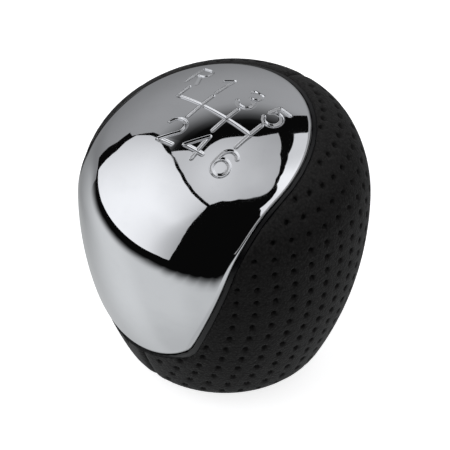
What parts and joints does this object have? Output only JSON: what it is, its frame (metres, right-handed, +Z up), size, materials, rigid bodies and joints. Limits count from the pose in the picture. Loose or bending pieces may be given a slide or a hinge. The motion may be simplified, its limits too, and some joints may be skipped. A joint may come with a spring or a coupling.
{
  "type": "gear shift knob",
  "caption": "Manual gear shift knob: perforated leather grip with a plated cap that carries the gear pattern, and a threaded insert for the lever.",
  "frame": {"origin": "centre of the base ring's lower face, on the lever's axis, at the mouth of the shank passage", "axes": "+Z up along the lever, +Y forwards in the car, +X to the driver's right; the chrome tongue faces -Y"},
  "size_m": [0.052, 0.0524, 0.0546],
  "materials": {
    "leather": "fine-grained, perforated, soft sheen",
    "chrome": "bright plated ABS",
    "thread": "black polyester sewing thread",
    "moulding": "glass-filled black nylon",
    "black_gloss": "smooth black ABS",
    "ring": "fine-textured black nylon",
    "brass": "turned",
    "steel": "zinc plated"
  },
  "bodies": {
    "root": {"core": "moulding", "thread_insert": "brass", "leather_left": "leather", "leather_right": "leather", "front_seam_thread": "thread", "rear_seam_thread": "thread", "chrome_cap": "chrome", "cap_frame": "black_gloss", "cap_screw_1": "steel", "cap_screw_2": "steel", "cap_screw_3": "steel", "cap_screw_4": "steel", "base_ring": "ring"}
  },
  "joints": []
}
